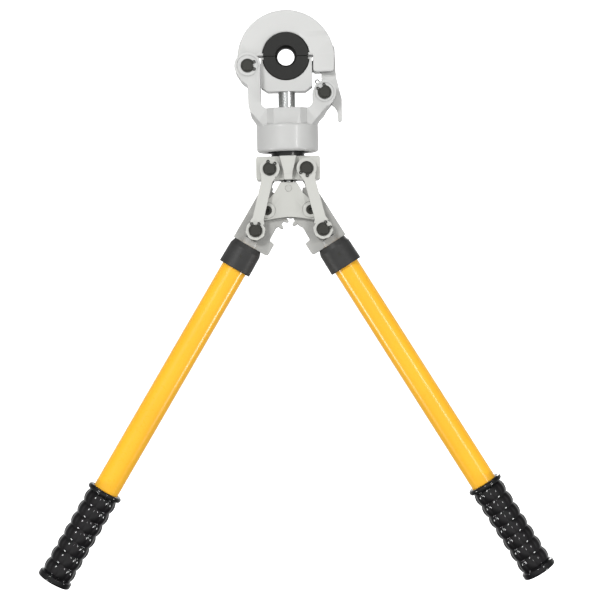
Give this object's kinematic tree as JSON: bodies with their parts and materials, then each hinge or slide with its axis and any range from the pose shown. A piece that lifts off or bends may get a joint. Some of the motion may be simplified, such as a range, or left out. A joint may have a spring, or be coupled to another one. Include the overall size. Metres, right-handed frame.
{
  "type": "manual pipe press tool",
  "caption": "Two-handed press tool with a flip-top ring jaw, halved dies, toggle links and geared levers that close the dies round a pipe fitting.",
  "frame": {"origin": "centre of the press bore between the two dies, on the upper die's axis", "axes": "+Y along the press bore away from the front face, +Z from the handles to the head, +X to the latch side"},
  "size_m": [0.4902, 0.0584, 0.545],
  "materials": {
    "cast_paint": "silver-grey paint on a fine cast surface",
    "machined": "satin light grey paint",
    "forged": "satin grey paint on a forging",
    "die_steel": "black phosphated tool steel",
    "black_steel": "black oxide",
    "spring_steel": "bright ground steel",
    "bronze": "machined bronze",
    "chrome": "hard chrome, ground",
    "neck_steel": "black oxide, turned",
    "seal_rubber": "black nitrile",
    "collar_plastic": "matt black plastic",
    "yellow_paint": "gloss yellow powder coat",
    "grip_pvc": "glossy dipped black PVC"
  },
  "bodies": {
    "head": {"fork_frame": "cast_paint", "hinge_pin": "black_steel", "hinge_circlips": "black_steel", "latch_pin": "black_steel", "latch_circlips": "black_steel", "latch_spring": "spring_steel", "rod_bush": "bronze", "rod_seal": "seal_rubber", "swivel_retaining_ring": "black_steel"},
    "jaw": {"upper_jaw": "cast_paint", "upper_die": "die_steel", "latch_catch_pin": "spring_steel", "upper_die_detent": "spring_steel"},
    "latch": {"latch_lever": "cast_paint"},
    "ram": {"ram_rod": "chrome", "lower_jaw": "cast_paint", "lower_die": "die_steel", "lower_jaw_pin": "spring_steel", "lower_die_detent": "spring_steel"},
    "yoke": {"crosshead": "machined", "swivel_neck": "neck_steel", "thrust_washer": "bronze", "swivel_oring": "seal_rubber", "upper_link_pin_left": "black_steel", "upper_link_pin_right": "black_steel", "upper_circlips_left": "black_steel", "upper_circlips_right": "black_steel"},
    "push_frame": {"push_plate_front": "machined", "push_plate_back": "machined", "push_block": "machined", "push_pin": "machined", "pivot_screws": "black_steel", "pivot_nuts": "black_steel", "pivot_sleeves": "spring_steel"},
    "handle_left": {"lever_left": "forged", "pivot_bush_left": "bronze", "tube_collar_left": "collar_plastic", "collar_pin_left": "black_steel", "handle_tube_left": "yellow_paint", "grip_left": "grip_pvc", "tube_plug_left": "collar_plastic"},
    "link_left": {"link_front_left": "machined", "link_back_left": "machined", "lower_link_pin_left": "black_steel", "lower_circlips_left": "black_steel"},
    "handle_right": {"lever_right": "forged", "pivot_bush_right": "bronze", "tube_collar_right": "collar_plastic", "collar_pin_right": "black_steel", "handle_tube_right": "yellow_paint", "grip_right": "grip_pvc", "tube_plug_right": "collar_plastic"},
    "link_right": {"link_front_right": "machined", "link_back_right": "machined", "lower_link_pin_right": "black_steel", "lower_circlips_right": "black_steel"}
  },
  "joints": [
    {"name": "upper_jaw_hinge", "type": "hinge", "parent": "head", "child": "jaw", "pos_m": [-0.0362, 0, -0.0095], "axis": [0, -1, 0], "range_deg": [0, 75]},
    {"name": "latch_release", "type": "hinge", "parent": "head", "child": "latch", "pos_m": [0.0358, 0, -0.0359], "axis": [0, 1, 0], "range_deg": [0, 16], "stiffness_Nm_per_rad": 0.4, "springref_deg": -20.05},
    {"name": "ram_slide", "type": "slide", "parent": "head", "child": "ram", "axis": [0, 0, 1], "range_m": [-0.0006, 0.0006]},
    {"name": "head_swivel", "type": "hinge", "parent": "head", "child": "yoke", "pos_m": [0, 0, -0.095], "axis": [0, 0, 1], "continuous": true},
    {"name": "push_slide", "type": "slide", "parent": "yoke", "child": "push_frame", "axis": [0, 0, 1], "range_m": [-0.0015, 0.0015]},
    {"name": "handle_open", "type": "hinge", "parent": "push_frame", "child": "handle_left", "pos_m": [-0.0205, 0, -0.146], "axis": [0, 1, 0], "range_deg": [-29.25, 23.75]},
    {"name": "handle_right_pivot", "type": "hinge", "parent": "push_frame", "child": "handle_right", "pos_m": [0.0205, 0, -0.146], "axis": [0, 1, 0], "range_deg": [-24, 29.5]},
    {"name": "link_left_pivot", "type": "hinge", "parent": "yoke", "child": "link_left", "pos_m": [-0.0174, 0, -0.1071], "axis": [0, 1, 0], "range_deg": [-9.6, 8]},
    {"name": "link_right_pivot", "type": "hinge", "parent": "yoke", "child": "link_right", "pos_m": [0.0174, 0, -0.1071], "axis": [0, 1, 0], "range_deg": [-8, 9.6]}
  ],
  "couplings": [
    {"joint": "handle_right_pivot", "follows": "handle_open", "ratio": -1},
    {"joint": "link_left_pivot", "follows": "handle_open", "ratio": 0.32},
    {"joint": "link_right_pivot", "follows": "handle_open", "ratio": -0.32},
    {"joint": "push_slide", "follows": "handle_open", "m_per_rad": -0.00274},
    {"joint": "ram_slide", "follows": "handle_open", "m_per_rad": -0.00108}
  ]
}
